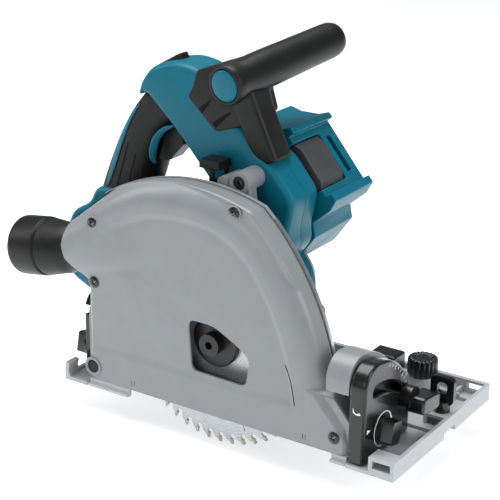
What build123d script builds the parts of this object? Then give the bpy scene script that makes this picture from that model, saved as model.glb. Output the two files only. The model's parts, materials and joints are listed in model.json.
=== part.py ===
"""Track plunge saw: base, tilting blade case and plunging saw unit, each built of its real pieces.

Frame: +X forwards, +Y towards the motor side, +Z up. The sole is z = 0, the blade's middle plane
is y = 0, and x = 0 is straight below the plunge pivot. The blade stands at its rest depth.
"""
import os
from math import acos, asin, atan2, cos, degrees, hypot, radians, sin

from build123d import *

os.makedirs("parts", exist_ok=True)

# Driving dimensions, in millimetres and degrees
blade_diameter = 165.0
blade_bore = 20.0
blade_body = 1.6
blade_kerf = 2.2
tooth_count = 48
rest_depth = 22.0
arm_radius = 115.6
pivot_z = 17.0
case_near = -15.5
case_seam = 7.0
wall_near = 8.4
wall_far = 12.0
case_bottom = 6.5
case_arc_radius = 206.0
case_shell = 2.6
base_front = 265.0
base_rear = -27.0
base_near = -18.0
base_far = 138.0
base_rim = 14.0
sole_thickness = 3.0
open_rear = -5.2
open_front = 226.8
slot_far = 2.6
bevel_slot_radius = 55.0
bevel_bolt_angle = 41.0
bevel_range = 48.0
gear_module = 1.0
gear_teeth = 37
pinion_teeth = 15
motor_lean = 83.6
motor_radius = 34.0
unit_near = 36.3
unit_far = 74.7
bay_far = 132.0
fit = 0.05
gap = 0.35

blade_radius = blade_diameter / 2
arbor_z = blade_radius - rest_depth
arm_angle = degrees(asin((arbor_z - pivot_z) / arm_radius))
arbor_x = arm_radius * cos(radians(arm_angle))
gear_distance = gear_module * (gear_teeth + pinion_teeth) / 2
motor_x = arbor_x + gear_distance * cos(radians(motor_lean))
motor_z = arbor_z + gear_distance * sin(radians(motor_lean))


def across(y):
    """Plane facing the near side at y, with x to the right and z up."""
    return Plane(origin=(0, y, 0), x_dir=(1, 0, 0), z_dir=(0, -1, 0))


def along(x):
    """Plane facing forwards at x, with y to the right and z up."""
    return Plane(origin=(x, 0, 0), x_dir=(0, 1, 0), z_dir=(1, 0, 0))


def polar(radius, angle, centre=(0, 0)):
    """Point at a radius and angle in degrees about a centre."""
    return (centre[0] + radius * cos(radians(angle)), centre[1] + radius * sin(radians(angle)))


def arc_slot(centre, radius, start, size, width, mode=Mode.ADD):
    """Slot of a given width along an arc, added to the sketch being built."""
    with BuildLine(mode=Mode.PRIVATE) as path:
        CenterArc(centre, radius, start, size)
    SlotArc(path.edges()[0], width, mode=mode)


def save(piece, name):
    """Label a finished piece and write it as its own STEP file."""
    piece.part.label = name
    export_step(piece.part, f"parts/{name}.step")


def face_of(points):
    """Flat outline through the points, added to the sketch being built."""
    return Polygon(*points, align=None)


pivot = (0, pivot_z)
arbor = (arbor_x, arbor_z)
motor = (motor_x, motor_z)


# ---------------------------------------------------------------- base

rail_near, rail_far, rail_depth = 60.0, 78.0, 4.3
rule_low, rule_high = 5.8, 11.6
rule_front = (248.0, 262.0)
rule_rear = (-14.0, 0.0)
screw_y = 75.0
knob_spot = (224.0, 103.0)
lever_spot = (190.0, 109.0)

with BuildPart() as base_plate:
    with BuildSketch(Plane.XY):
        face_of([
            (base_rear, base_near), (open_rear, base_near), (open_rear, -3), (24, -3),
            (24, slot_far), (205, slot_far), (205, -3), (open_front, -3),
            (open_front, base_near), (base_front, base_near), (base_front, base_far),
            (base_rear, base_far),
        ])
    extrude(amount=sole_thickness)
    # far, front and rear rims
    with BuildSketch(Plane.XY):
        with Locations((0, 0)):
            face_of([(base_rear, base_far - 4), (base_front, base_far - 4),
                     (base_front, base_far), (base_rear, base_far)])
            face_of([(base_front - 3, base_near), (base_front, base_near),
                     (base_front, base_far), (base_front - 3, base_far)])
            face_of([(base_rear, 58), (base_rear + 3, 58),
                     (base_rear + 3, base_far), (base_rear, base_far)])
    extrude(amount=base_rim)
    # front corner block and the bosses that the guide rule passes through
    with BuildSketch(Plane.XY):
        with Locations(((rule_front[0] + rule_front[1]) / 2, base_near + 7)):
            Rectangle(20, 14)
        with Locations(((rule_front[0] + rule_front[1]) / 2, screw_y)):
            Rectangle(20, 20)
        with Locations(((rule_rear[0] + rule_rear[1]) / 2, screw_y)):
            Rectangle(20, 20)
    extrude(amount=base_rim)
    # raised channel over the guide rail
    with BuildSketch(Plane.XY):
        with Locations(((base_rear + base_front) / 2, (rail_near + rail_far) / 2)):
            Rectangle(base_front - base_rear, rail_far - rail_near + 5)
    extrude(amount=rail_depth + 1.3)
    # stiffening ribs of the far tray
    with BuildSketch(Plane.XY):
        for rib_x in (28, 70, 112, 154, 206, 243):
            with Locations((rib_x, (rail_far + base_far) / 2)):
                Rectangle(2.4, base_far - rail_far)
        with Locations(((base_rear + base_front) / 2, 120)):
            Rectangle(base_front - base_rear, 2.4)
    extrude(amount=8)
    # knob and lever bosses
    with BuildSketch(Plane.XY):
        with Locations(knob_spot, (40.0, knob_spot[1])):
            Circle(13)
        with Locations(lever_spot):
            Rectangle(34, 24)
    extrude(amount=16)
    with BuildSketch(Plane.XY.offset(16)):
        with Locations(knob_spot, (40.0, knob_spot[1])):
            Circle(12)
    extrude(amount=8.5, taper=12)
    # rear hook
    with BuildSketch(across(base_near)):
        face_of([(base_rear, 0), (base_rear + 6, 0), (base_rear + 3, 9), (base_rear + 4.5, 14),
                 (base_rear + 1, 15), (base_rear, 9)])
    extrude(amount=-12)
    with BuildSketch(Plane.XY):
        face_of([(base_rear, base_near), (base_rear + 3, base_near),
                 (base_rear + 3, 59), (base_rear, 59)])
    extrude(amount=5)
    # rail channel and guide rule slots
    with BuildSketch(Plane.XY):
        with Locations(((base_rear + base_front) / 2, (rail_near + rail_far) / 2)):
            Rectangle(base_front - base_rear, rail_far - rail_near)
    extrude(amount=rail_depth, mode=Mode.SUBTRACT)
    for low, high in (rule_front, rule_rear):
        with BuildSketch(across(base_near - 1)):
            with Locations(((low + high) / 2, (rule_low + rule_high) / 2)):
                Rectangle(high - low, rule_high - rule_low)
        extrude(amount=-(base_far - base_near + 2), mode=Mode.SUBTRACT)
    # thumb screw holes, knob bores and the lever's guide
    with Locations((255, screw_y, base_rim), (-7, screw_y, base_rim)):
        Hole(3.1, depth=base_rim - rule_low)
    with Locations((knob_spot[0], knob_spot[1], 24.5), (40.0, knob_spot[1], 24.5)):
        Hole(3.1, depth=20)
    with BuildSketch(Plane.XY.offset(10)):
        with Locations(lever_spot):
            Rectangle(30, 12.7)
    extrude(amount=10, mode=Mode.SUBTRACT)
    # holes for the screws that hold the quadrants from below
    with Locations((233.5, 30, sole_thickness), (-17.4, 30, sole_thickness)):
        Hole(2.0, depth=sole_thickness)
    # slots through the front ledge
    with BuildSketch(Plane.XY.offset(-1)):
        with Locations((255, 98), (255, 50)):
            SlotOverall(12, 4, rotation=90)
    extrude(amount=8, mode=Mode.SUBTRACT)
save(base_plate, "base_plate")


def quadrant_outline(centre_height, radius, near, shoulder):
    """Quadrant's outline: near edge up to the shoulder, rounded top, large arc down to the base."""
    low = sole_thickness + 0.02
    far_angle = degrees(asin((low - centre_height) / radius))
    with BuildLine(mode=Mode.PRIVATE) as outline:
        rise = Line((near, low), (near, shoulder))
        sweep_down = CenterArc((0, centre_height), radius, 84, far_angle - 84)
        RadiusArc(rise @ 1, sweep_down @ 0, 17)
        Line(sweep_down @ 1, (near, low))
    make_face(outline.edges())


def bevel_slot(width):
    """Arc slot that the bevel clamp bolt travels in."""
    arc_slot((0, 0), bevel_slot_radius, bevel_bolt_angle - 1.5, bevel_range + 3.0, width)


dial_centre = (10.0, 22.0)
front_quadrant_rear, front_quadrant_front = 227.0, 240.0
front_rim_centre = 20.0
with BuildPart() as front_quadrant:
    with BuildSketch(along(front_quadrant_rear)):
        quadrant_outline(front_rim_centre, 55, -16, 58.5)
    extrude(amount=front_quadrant_front - front_quadrant_rear)
    with BuildSketch(along(front_quadrant_rear)):
        with Locations((90, 40)):
            Rectangle(76, 150)
    extrude(amount=20, mode=Mode.SUBTRACT)
    fillet(front_quadrant.edges().group_by(Axis.X)[-1], 2.5)
    with BuildSketch(along(front_quadrant_rear - 1)):
        bevel_slot(7.4)
        with Locations(dial_centre):
            Circle(5.1)
    extrude(amount=20, mode=Mode.SUBTRACT)
save(front_quadrant, "front_quadrant")

rear_quadrant_rear, rear_quadrant_front = -20.0, -14.9
with BuildPart() as rear_quadrant:
    with BuildSketch(along(rear_quadrant_rear)):
        quadrant_outline(0, 68, 0, 58.5)
    extrude(amount=rear_quadrant_front - rear_quadrant_rear)
    with BuildSketch(along(rear_quadrant_rear)):
        with Locations((90, 40)):
            Rectangle(72, 150)
    extrude(amount=20, mode=Mode.SUBTRACT)
    with BuildSketch(along(rear_quadrant_rear - 1)):
        bevel_slot(7.4)
        with Locations(dial_centre):
            Circle(5.1)
    extrude(amount=20, mode=Mode.SUBTRACT)
save(rear_quadrant, "rear_quadrant")


def stop_dial(front, facing):
    """Bevel stop dial: a shaft through the quadrant, a disc and a square grip."""
    plane = along(front)
    with BuildPart() as dial:
        with BuildSketch(plane.offset(-facing * 4.6)):
            with Locations(dial_centre):
                Circle(5.0)
        extrude(amount=facing * 5)
        with BuildSketch(plane.offset(facing * 0.3)):
            with Locations(dial_centre):
                Circle(10)
        extrude(amount=facing * 2.5)
        with BuildSketch(plane.offset(facing * 2.7)):
            with Locations(dial_centre):
                RectangleRounded(13, 17, 2, rotation=-12)
        extrude(amount=facing * 9)
    return dial


save(stop_dial(front_quadrant_front, 1), "front_stop_dial")
save(stop_dial(rear_quadrant_rear, -1), "rear_stop_dial")

clamp_centre = polar(bevel_slot_radius, bevel_bolt_angle)


def clamp_knob(face, facing, reach, depth):
    """Bevel clamp knob: a round hub with a thick paddle that reaches away from the hub."""
    plane = along(face)
    with BuildPart() as knob:
        with BuildSketch(plane):
            with Locations(clamp_centre):
                Circle(8.5)
        extrude(amount=facing * 8)
        with BuildSketch(plane.offset(facing * 5)):
            with Locations((clamp_centre[0] + reach / 2 - 6, clamp_centre[1] - 5)):
                RectangleRounded(reach, 13, 4, rotation=-8)
        extrude(amount=facing * (depth - 5))
        fillet(knob.faces().sort_by(Axis.X)[-1 if facing > 0 else 0].edges(), 2)
        with BuildSketch(plane.offset(-facing)):
            with Locations(clamp_centre):
                Circle(3.05)
        extrude(amount=facing * 9, mode=Mode.SUBTRACT)
    return knob


save(clamp_knob(front_quadrant_front + gap, 1, 27, 19), "front_clamp_knob")
save(clamp_knob(rear_quadrant_rear - gap, -1, 24, 14), "rear_clamp_knob")

for screw_name, screw_x in (("front_rule_screw", 255.0), ("rear_rule_screw", -7.0)):
    with BuildPart() as rule_screw:
        with Locations((screw_x, screw_y, (rule_high + 22) / 2)):
            Cylinder(3.05, 22 - rule_high)
        with Locations((screw_x, screw_y, 18.5)):
            Cylinder(6, 8)
        with BuildSketch(across(screw_y - 2)):
            with Locations((screw_x, 31)):
                RectangleRounded(19, 22, 5)
                with Locations((0, 2)):
                    RectangleRounded(8, 9, 3, mode=Mode.SUBTRACT)
        extrude(amount=-4)
    save(rule_screw, screw_name)

for knob_name, knob_x in (("front_rail_knob", knob_spot[0]), ("rear_rail_knob", 40.0)):
    with BuildPart() as rail_knob:
        with Locations((knob_x, knob_spot[1], 17.5)):
            Cylinder(3.05, 16)
        with BuildSketch(Plane.XY.offset(24.5 + gap)):
            with Locations((knob_x, knob_spot[1])):
                Circle(11.6)
                with PolarLocations(12.4, 9):
                    Circle(2.1, mode=Mode.SUBTRACT)
        extrude(amount=14.5)
        fillet(rail_knob.faces().sort_by(Axis.Z)[-1].edges(), 1)
    save(rail_knob, knob_name)

with BuildPart() as slide_lever:
    with Locations((lever_spot[0] - 4, lever_spot[1], 14.5)):
        Box(20, 12.5, 8)
    with Locations((lever_spot[0], lever_spot[1], 25.5)):
        Box(23, 18, 15)
    fillet(slide_lever.faces().sort_by(Axis.Z)[-1].edges(), 3)
save(slide_lever, "slide_lever")

with BuildPart() as quadrant_screws:
    for screw_x in (233.5, -17.4):
        with Locations((screw_x, 30, sole_thickness / 2)):
            Cylinder(2.0, sole_thickness)
save(quadrant_screws, "quadrant_screws")


# ---------------------------------------------------------------- tilting blade case

top_arc_centre, top_arc_radius = (85.0, 11.3), 166.0
case_rear = -4.0
foot_front = 226.4
foot_top = 60.0
foot_x = 200.0


def case_outline(inset=0.0, mode=Mode.ADD):
    """Case seen from the side: straight back, domed top, large front arc about the plunge pivot, foot."""
    dome = top_arc_radius - inset
    front = case_arc_radius - inset
    back = case_rear + inset
    low = case_bottom
    span = hypot(top_arc_centre[0] - pivot[0], top_arc_centre[1] - pivot[1])
    reach = (front ** 2 - dome ** 2 + span ** 2) / (2 * span)
    rise = (front ** 2 - reach ** 2) ** 0.5
    lean = atan2(top_arc_centre[1] - pivot[1], top_arc_centre[0] - pivot[0])
    corner = (pivot[0] + reach * cos(lean) - rise * sin(lean),
              pivot[1] + reach * sin(lean) + rise * cos(lean))
    corner_angle = degrees(atan2(corner[1] - pivot[1], corner[0] - pivot[0]))
    dome_end = degrees(atan2(corner[1] - top_arc_centre[1], corner[0] - top_arc_centre[0]))
    dome_start = degrees(acos((back - top_arc_centre[0]) / dome))
    foot_angle = degrees(asin((foot_top - pivot_z) / front))
    with BuildLine(mode=Mode.PRIVATE) as outline:
        Line((back, low), polar(dome, dome_start, top_arc_centre))
        CenterArc(top_arc_centre, dome, dome_start, dome_end - dome_start)
        fall = CenterArc(pivot, front, corner_angle, foot_angle - corner_angle)
        Line(fall @ 1, (foot_front - inset, case_bottom + 24))
        Line((foot_front - inset, case_bottom + 24), (foot_front - inset, low))
        Line((foot_front - inset, low), (back, low))
    make_face(outline.edges(), mode=mode)


window_points = [(90, 78), (112, 77.5), (133, 67), (144, 59), (141, 37), (93, 38)]
cover_screw_spots = [(2.5, 134.5), (2.5, 87.5), (127.5, 166.0), (216.0, 19.0)]
nozzle_direction = Vector(-0.99, 0, -0.14).normalized()
nozzle_origin = Vector(-4.0, -1.0, 107.7)

socket_plane = Plane(origin=nozzle_origin, x_dir=(0, 1, 0), z_dir=nozzle_direction)
socket_length, socket_radius, socket_bore = 32.0, 19.0, 16.2
nozzle_length, nozzle_radius = 76.0, 23.5

with BuildPart() as case_cover:
    with BuildSketch(across(case_near)):
        case_outline()
    extrude(amount=-(case_seam - case_near))
    near_rim = case_cover.faces().sort_by(Axis.Y)[0].edges()
    fillet(near_rim.filter_by(lambda edge: edge.center().Z > case_bottom + 2), 7)
    # hollow for the blade, open at the bottom, ending short of the solid foot
    with BuildSketch(across(case_near + case_shell)):
        case_outline(case_shell)
        with Locations(pivot):
            Circle(case_arc_radius - case_shell, mode=Mode.INTERSECT)
    extrude(amount=-(case_seam - case_near), mode=Mode.SUBTRACT)
    # pillars for the cover screws, and the boss that holds the plunge pivot's near end
    with BuildSketch(across(case_near + 2)):
        with Locations(*cover_screw_spots[:3]):
            Circle(4.6)
        with Locations((pivot[0] + 6.5, pivot[1])):
            Circle(10.4)
    extrude(amount=-(case_seam - case_near - 2))
    with BuildSketch(across(case_near - 1)):
        with Locations(*cover_screw_spots):
            Circle(3.3)
    extrude(amount=-4.4, mode=Mode.SUBTRACT)
    # window onto the arbor bolt
    with BuildSketch(across(case_near - 1)):
        face_of(window_points)
        fillet(vertices(), 5)
    extrude(amount=-8, mode=Mode.SUBTRACT)
    # dust socket
    with BuildSketch(socket_plane):
        Circle(socket_radius)
    extrude(amount=socket_length)
    with BuildSketch(socket_plane.offset(-4)):
        Circle(socket_bore)
    extrude(amount=socket_length + 8, mode=Mode.SUBTRACT)
    # everything beyond the seam, and the pivot pin's bore
    with BuildSketch(across(case_seam)):
        with Locations((110, 100)):
            Rectangle(240, 240)
    extrude(amount=-30, mode=Mode.SUBTRACT)
    with BuildSketch(across(case_near - 1)):
        with Locations(pivot):
            Circle(6.0)
    extrude(amount=-(case_seam - case_near + 2), mode=Mode.SUBTRACT)
save(case_cover, "case_cover")

with BuildPart() as case_seal:
    with BuildSketch(across(case_seam)):
        case_outline(0.9)
        case_outline(case_shell, Mode.SUBTRACT)
        with Locations(pivot):
            Circle(6.0, mode=Mode.SUBTRACT)
    extrude(amount=-(wall_near - case_seam))
save(case_seal, "case_seal")

with BuildPart() as case_inner_wall:
    with BuildSketch(across(wall_near)):
        case_outline()
        with Locations(((case_rear - 12) / 2, 35)):
            Rectangle(12 + case_rear, 54)
        # arc that the spindle nose sweeps as the saw unit plunges
        arc_slot(pivot, arm_radius, -14, 51, 45, Mode.SUBTRACT)
        with Locations(pivot):
            Circle(6.0, mode=Mode.SUBTRACT)
    extrude(amount=-(wall_far - wall_near))
save(case_inner_wall, "case_inner_wall")

with BuildPart() as depth_scale:
    with BuildSketch(across(wall_near + 0.3)):
        with BuildLine() as band:
            inner = CenterArc(pivot, case_arc_radius + 0.02, 14, 30)
            outer = CenterArc(pivot, case_arc_radius + 0.7, 14, 30)
            Line(inner @ 0, outer @ 0)
            Line(inner @ 1, outer @ 1)
        make_face()
    extrude(amount=-(wall_far - wall_near - 0.6))
save(depth_scale, "depth_scale")

with BuildPart() as edge_runners:
    for low, high in ((case_rear + 0.1, 35), (214, foot_front)):
        with BuildSketch(along(low)):
            with Locations((-15.5, 1.5)):
                Rectangle(5, 2.4)
            with Locations((-14.2, 4.6)):
                Rectangle(2.4, 3.8)
        extrude(amount=high - low)
save(edge_runners, "edge_runners")

bracket_rear = 208.0
with BuildPart() as front_bracket:
    with BuildSketch(along(bracket_rear)):
        quadrant_outline(front_rim_centre, 58, case_near, 61.5)
        with Locations((90, 40)):
            Rectangle(80, 150, mode=Mode.SUBTRACT)
        with Locations((0, 0)):
            Rectangle(120, 2 * case_bottom, mode=Mode.SUBTRACT)
        with Locations((wall_far - 50, 0)):
            Rectangle(100, 108, mode=Mode.SUBTRACT)
    extrude(amount=foot_front - bracket_rear)
    with BuildSketch(along(bracket_rear - 1)):
        with Locations(clamp_centre):
            Circle(3.0)
    extrude(amount=30, mode=Mode.SUBTRACT)
save(front_bracket, "front_bracket")

with BuildPart() as rear_bracket:
    with BuildSketch(along(-14.5)):
        with Locations((24, 35)):
            RectangleRounded(52, 54, 8)
        with Locations(clamp_centre):
            Circle(3.0, mode=Mode.SUBTRACT)
    extrude(amount=2.5)
save(rear_bracket, "rear_bracket")

with BuildPart() as clamp_bolts:
    for low, high in ((bracket_rear + 1, 247.0), (-27.0, -12.0)):
        with BuildSketch(along(low)):
            with Locations(clamp_centre):
                Circle(3.0)
        extrude(amount=high - low)
save(clamp_bolts, "clamp_bolts")

with BuildPart() as pivot_pin:
    with BuildSketch(across(case_near + 1.2)):
        with Locations(pivot):
            Circle(5.0)
    extrude(amount=-8)
    with BuildSketch(across(case_near + 7.5)):
        with Locations(pivot):
            Circle(6.0)
    extrude(amount=-(43 - case_near - 7.5))
    with BuildSketch(across(43)):
        with Locations(pivot):
            Circle(8.5)
    extrude(amount=-3)
save(pivot_pin, "pivot_pin")

with BuildPart() as cover_screws:
    with BuildSketch(across(case_near + 1.2)):
        with Locations(*cover_screw_spots):
            Circle(3.2)
    extrude(amount=-2.2)
    with BuildSketch(across(case_near + 1)):
        with Locations(*cover_screw_spots):
            Rectangle(4, 0.9)
            Rectangle(0.9, 4)
    extrude(amount=-1.4, mode=Mode.SUBTRACT)
save(cover_screws, "cover_screws")

with BuildPart() as dust_nozzle:
    with BuildSketch(Plane.XZ) as nozzle_half:
        face_of([(socket_radius + fit, 0), (nozzle_radius - 3, 0), (nozzle_radius - 2.5, 22),
                 (nozzle_radius - 3.5, 26), (nozzle_radius - 1, 46), (nozzle_radius, 50),
                 (nozzle_radius, nozzle_length - 2), (nozzle_radius - 1.5, nozzle_length),
                 (nozzle_radius - 4, nozzle_length), (nozzle_radius - 4, 44),
                 (socket_radius - 2, 30), (socket_radius + fit, 26)])
    revolve(axis=Axis.Z)
dust_nozzle.part = socket_plane.offset(8.5).location * dust_nozzle.part
save(dust_nozzle, "dust_nozzle")

with BuildPart() as depth_stop:
    with BuildSketch(across(wall_far + gap)):
        with BuildLine():
            low_arc = CenterArc(pivot, 180, 20, 6)
            high_arc = CenterArc(pivot, 198, 20, 6)
            Line(low_arc @ 0, high_arc @ 0)
            Line(low_arc @ 1, high_arc @ 1)
        make_face()
    extrude(amount=-7)
    with BuildSketch(across(wall_far + gap + 7)):
        with Locations(polar(189, 23, pivot)):
            Circle(7)
    extrude(amount=-9)
save(depth_stop, "depth_stop")


# ---------------------------------------------------------------- blade and drive

def spur_gear(teeth, bore, centre, start, width, first_tooth):
    """Spur gear with trapezoid teeth slightly thinner than half the pitch, for backlash."""
    pitch_radius = gear_module * teeth / 2
    root, tip = pitch_radius - 1.2 * gear_module, pitch_radius + 0.8 * gear_module
    half_root, half_tip = degrees(0.95 * gear_module / root), degrees(0.36 * gear_module / tip)
    outline = []
    for tooth in range(teeth):
        middle = first_tooth + tooth * 360 / teeth
        for radius, turn in ((root, -half_root), (tip, -half_tip), (tip, half_tip), (root, half_root)):
            outline.append(polar(radius, middle + turn, centre))
    with BuildPart() as gear:
        with BuildSketch(across(start)):
            face_of(outline)
            with Locations(centre):
                Circle(bore, mode=Mode.SUBTRACT)
        extrude(amount=-width)
    return gear


def ring(centre, start, end, outer, inner):
    """Plain round part along Y, with a hole if inner is above zero."""
    with BuildPart() as piece:
        with BuildSketch(across(start)):
            with Locations(centre):
                Circle(outer)
                if inner:
                    Circle(inner, mode=Mode.SUBTRACT)
        extrude(amount=-(end - start))
    return piece


tip_reach = 4.0
with BuildPart() as saw_blade:
    with BuildSketch(across(-blade_body / 2)):
        with Locations(arbor):
            Circle(blade_radius - 8)
            with PolarLocations(0, tooth_count):
                face_of([(blade_radius - 9, -5.2), (blade_radius - 6.4, -4.6),
                         (blade_radius - 3.4, -2.4), (blade_radius - 1.5, 0.6),
                         (blade_radius - 1.1, 1.9), (blade_radius - tip_reach, 1.6),
                         (blade_radius - 6.6, 1.2), (blade_radius - 9, 2.4)])
            Circle(blade_bore / 2, mode=Mode.SUBTRACT)
            with PolarLocations(blade_radius - 19, 4, start_angle=20):
                Rectangle(16, 1.2, mode=Mode.SUBTRACT)
    extrude(amount=-blade_body)
    # carbide tips, wider than the blade's body
    with BuildSketch(across(-blade_kerf / 2)):
        with Locations(arbor):
            with PolarLocations(0, tooth_count):
                face_of([(blade_radius - tip_reach - 0.2, 1.1), (blade_radius - 1.2, 1.2),
                         (blade_radius - 0.3, 1.5), (blade_radius, 3.3), (blade_radius - tip_reach, 2.9)])
    extrude(amount=-blade_kerf)
save(saw_blade, "saw_blade")

with BuildPart() as inner_flange:
    with BuildSketch(across(-blade_body / 2)):
        with Locations(arbor):
            Circle(blade_bore / 2 - fit)
            Circle(4.1, mode=Mode.SUBTRACT)
    extrude(amount=-blade_body)
    with BuildSketch(across(blade_body / 2)):
        with Locations(arbor):
            Circle(19)
            Circle(4.1, mode=Mode.SUBTRACT)
    extrude(amount=-2.2)
    with BuildSketch(across(blade_body / 2 + 2.2)):
        with Locations(arbor):
            Circle(19)
            Circle(8.0, mode=Mode.SUBTRACT)
    extrude(amount=-2.8)
save(inner_flange, "inner_flange")

with BuildPart() as outer_flange:
    with BuildSketch(across(-5.0)):
        with Locations(arbor):
            Circle(19.5)
            Circle(4.1, mode=Mode.SUBTRACT)
    extrude(amount=-(5.0 - blade_body / 2))
    chamfer(outer_flange.faces().sort_by(Axis.Y)[0].edges().sort_by(SortBy.RADIUS)[-1], 1)
save(outer_flange, "outer_flange")

with BuildPart() as arbor_bolt:
    with BuildSketch(across(-12.9)):
        with Locations(arbor):
            Circle(8.5)
            RegularPolygon(3.4, 6, mode=Mode.SUBTRACT)
    extrude(amount=-5)
    with BuildSketch(across(-7.9)):
        with Locations(arbor):
            Circle(8.5)
    extrude(amount=-2.9)
    with BuildSketch(across(-5.0)):
        with Locations(arbor):
            Circle(4.0)
    extrude(amount=-17)
save(arbor_bolt, "arbor_bolt")

with BuildPart() as spindle:
    with BuildSketch(across(blade_body / 2 + 2.2)):
        with Locations(arbor):
            Circle(8.0)
    extrude(amount=-(29 - blade_body / 2 - 2.2))
    with BuildSketch(across(29)):
        with Locations(arbor):
            Circle(5.0)
    extrude(amount=-5)
    with BuildSketch(across(0)):
        with Locations(arbor):
            Circle(4.05)
    extrude(amount=-14, mode=Mode.SUBTRACT)
save(spindle, "spindle")

gear_start, gear_width = 18.0, 9.0
gear_line = degrees(atan2(motor_z - arbor_z, motor_x - arbor_x))
save(spur_gear(gear_teeth, 8.0, arbor, gear_start, gear_width, gear_line + 180 / gear_teeth), "drive_gear")
save(spur_gear(pinion_teeth, 4.0, motor, gear_start, gear_width, gear_line + 180), "pinion")

save(ring(motor, 17.0, 75.0, 4.0, 0), "rotor_shaft")
save(ring(motor, 40.0, 60.0, 16.0, 4.0), "rotor_core")
save(ring(motor, 39.0, 61.0, 31.0, 16.6), "stator")

with BuildPart() as fan:
    with BuildSketch(across(62.4)):
        with Locations(motor):
            Circle(26)
            Circle(4.0, mode=Mode.SUBTRACT)
    extrude(amount=-1.6)
    with BuildSketch(across(64)):
        with Locations(motor):
            with PolarLocations(16, 11):
                Rectangle(18, 1.6, rotation=20)
            Circle(8)
            Circle(4.0, mode=Mode.SUBTRACT)
    extrude(amount=-4.4)
save(fan, "fan")

with BuildPart() as motor_bearings:
    for low in (29.6, 69.0):
        with BuildSketch(across(low)):
            with Locations(motor):
                Circle(9)
                Circle(4.0 + fit, mode=Mode.SUBTRACT)
        extrude(amount=-6)
save(motor_bearings, "motor_bearings")

with BuildPart() as spindle_bearings:
    with BuildSketch(across(7.2)):
        with Locations(arbor):
            Circle(13)
            Circle(8.0 + fit, mode=Mode.SUBTRACT)
    extrude(amount=-6)
    with BuildSketch(across(29.2)):
        with Locations(arbor):
            Circle(8.5)
            Circle(5.0 + fit, mode=Mode.SUBTRACT)
    extrude(amount=-4.4)
save(spindle_bearings, "spindle_bearings")


# ---------------------------------------------------------------- plunging saw unit

boss = (114.5, 179.0)
lug = (91.0, 161.0)
housing_near, housing_far = 12.5, 31.0
with BuildPart() as gear_housing:
    with BuildSketch(across(housing_near)):
        with Locations(arbor):
            Circle(22.4)
        with Locations(motor):
            Circle(24)
        with Locations(pivot):
            Circle(11.4)
        face_of([(-3, 28), (4, 6.2), (arbor_x + 8, arbor_z - 20.5), (motor_x + 23, motor_z + 5),
                 (motor_x - 23, motor_z + 7)])
    extrude(amount=-(housing_far - housing_near))
    with BuildSketch(across(6.3)):
        with Locations(arbor):
            Circle(20)
    extrude(amount=-7)
    with BuildSketch(across(26)):
        with Locations(motor):
            Circle(motor_radius)
    extrude(amount=-(36.2 - 26))
    with BuildSketch(across(housing_far)):
        with Locations(arbor):
            Circle(11)
    extrude(amount=-4.2)
    # web up to the two screw bosses
    with BuildSketch(across(housing_near + 2)):
        face_of([(96, 100), (132, 100), (122, 180), (98, 176)])
    extrude(amount=-10)
    with BuildSketch(across(housing_near + 1.5)):
        with Locations(boss):
            Circle(8.2)
        with Locations((100.5, 177)):
            Circle(4.6)
    extrude(amount=-(36.2 - housing_near - 1.5))
    # lug and pin of the change lever
    with BuildSketch(across(20.5)):
        with Locations(lug):
            Circle(6)
        face_of([(91, 155), (104, 150), (104, 168), (91, 167)])
    extrude(amount=-5)
    with BuildSketch(across(14)):
        with Locations(lug):
            Circle(2.5)
    extrude(amount=-7)
    # gear chamber, bearing seats and the pivot bore
    with BuildSketch(across(16)):
        with Locations(arbor):
            Circle(20.3)
        with Locations(motor):
            Circle(10)
    extrude(amount=-13, mode=Mode.SUBTRACT)
    for low, depth, centre, radius in ((6, 7.2, arbor, 13), (13, 4, arbor, 9), (28, 6.6, arbor, 8.5),
                                       (28, 7.6, motor, 9), (35, 2, motor, 5)):
        with BuildSketch(across(low)):
            with Locations(centre):
                Circle(radius)
        extrude(amount=-depth, mode=Mode.SUBTRACT)
    with BuildSketch(across(housing_near - 1)):
        with Locations(pivot):
            Circle(6.0 + fit)
    extrude(amount=-30, mode=Mode.SUBTRACT)
    # counterbored hole for the boss screw
    with BuildSketch(across(13)):
        with Locations(boss):
            Circle(5.2)
    extrude(amount=-5, mode=Mode.SUBTRACT)
save(gear_housing, "gear_housing")

with BuildPart() as boss_screw:
    with BuildSketch(across(15.0)):
        with Locations(boss):
            Circle(5.1)
            RegularPolygon(2.3, 6, mode=Mode.SUBTRACT)
    extrude(amount=-3)
save(boss_screw, "boss_screw")

with BuildPart() as torsion_spring:
    with BuildLine():
        coil = Helix(pitch=2.3, height=8.0, radius=8.6, center=(pivot[0], 32.6, pivot[1]), direction=(0, 1, 0))
    with BuildSketch(Plane(origin=coil @ 0, z_dir=coil % 0)):
        Circle(0.9)
    sweep(is_frenet=True)
save(torsion_spring, "torsion_spring")

motor_end = 76.0
save(ring(motor, unit_near, motor_end, motor_radius, 31.0), "motor_housing")
with BuildPart() as motor_end_cap:
    with BuildSketch(across(motor_end)):
        with Locations(motor):
            Circle(motor_radius)
    extrude(amount=-4)
    with BuildSketch(across(motor_end - 7)):
        with Locations(motor):
            Circle(12)
            Circle(9, mode=Mode.SUBTRACT)
    extrude(amount=-7)
    with BuildSketch(across(motor_end)):
        with Locations(motor):
            with PolarLocations(21, 8):
                SlotOverall(12, 3.2, rotation=90)
    extrude(amount=-5, mode=Mode.SUBTRACT)
    fillet(motor_end_cap.faces().sort_by(Axis.Y)[-1].outer_wire().edges(), 2.5)
save(motor_end_cap, "motor_end_cap")

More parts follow.
